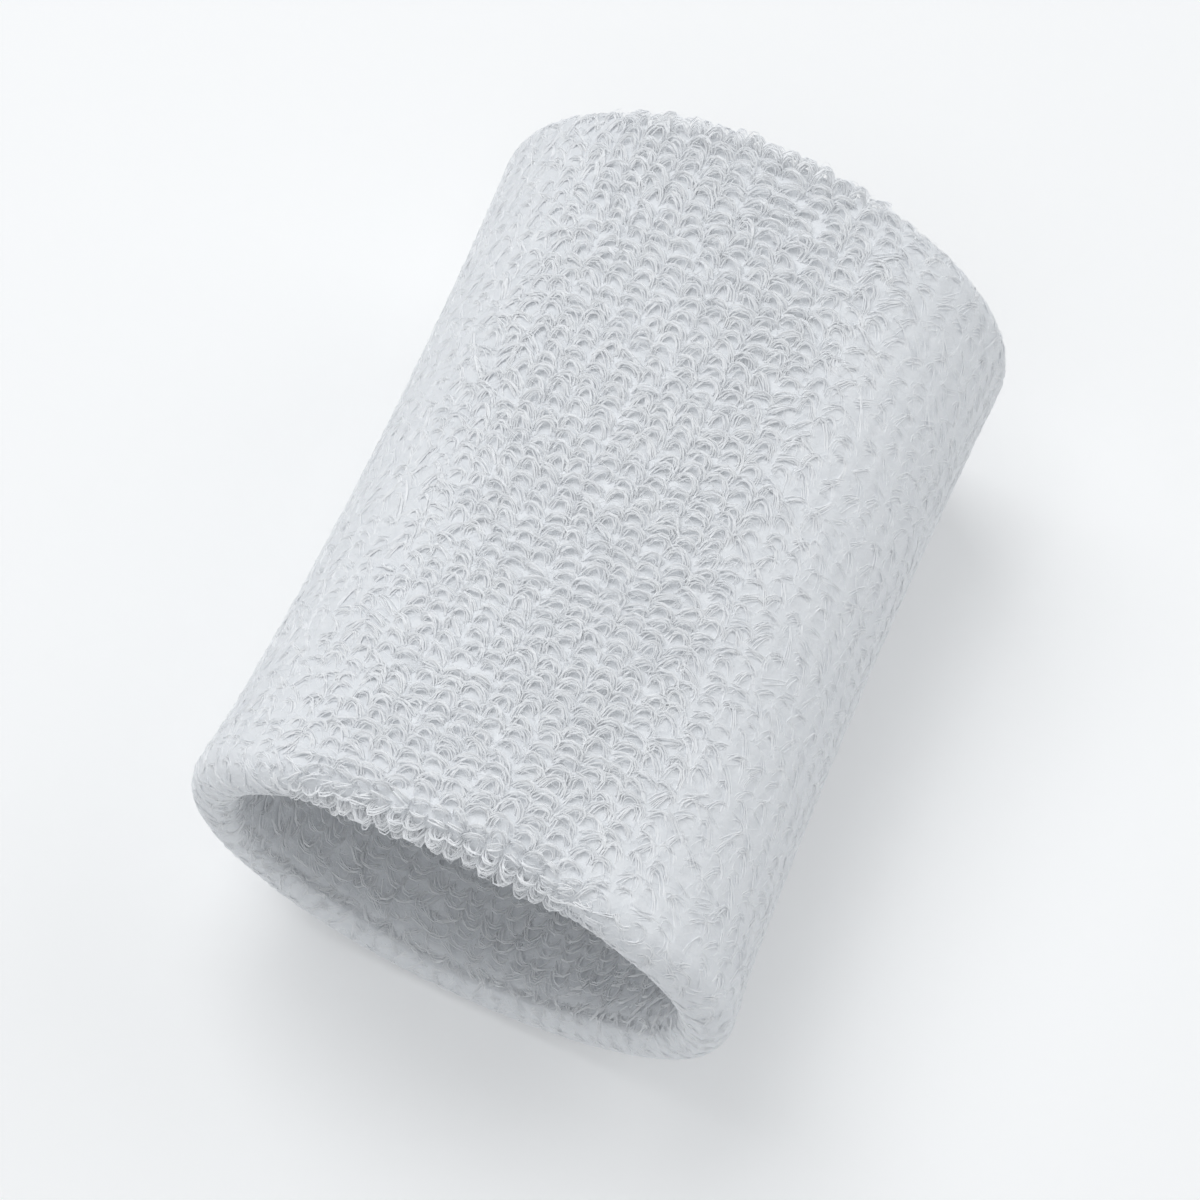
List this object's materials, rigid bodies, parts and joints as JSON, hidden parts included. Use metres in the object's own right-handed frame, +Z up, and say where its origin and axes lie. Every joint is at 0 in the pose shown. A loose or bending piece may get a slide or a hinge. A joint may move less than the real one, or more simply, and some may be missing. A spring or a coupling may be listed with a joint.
{
  "type": "sweat wristband",
  "caption": "White terry sweat wristband: a knitted loop-pile tube folded double, rolled at both ends, slightly waisted, lying on its side.",
  "frame": {"origin": "on the resting plane, under the middle of the band as it lies on its side", "axes": "+Z up, Y along the wrist opening with the front opening facing -Y, X across the band's width"},
  "size_m": [0.0576, 0.076, 0.0463],
  "materials": {
    "terry_pile": "white cotton loop pile",
    "ground_knit": "white plain knit under the pile",
    "elastic_yarn": "white yarn-covered elastic",
    "seam_thread": "white polyester sewing thread"
  },
  "bodies": {
    "root": {"outer_pile": "terry_pile", "inner_pile": "terry_pile", "front_fold_pile": "terry_pile", "back_fold_pile": "terry_pile", "outer_ground_knit": "ground_knit", "inner_ground_knit": "ground_knit", "front_fold_ground_knit": "ground_knit", "back_fold_ground_knit": "ground_knit", "outer_elastic_yarns": "elastic_yarn", "inner_elastic_yarns": "elastic_yarn", "seam_allowance": "ground_knit", "seam_stitches": "seam_thread"}
  },
  "joints": []
}
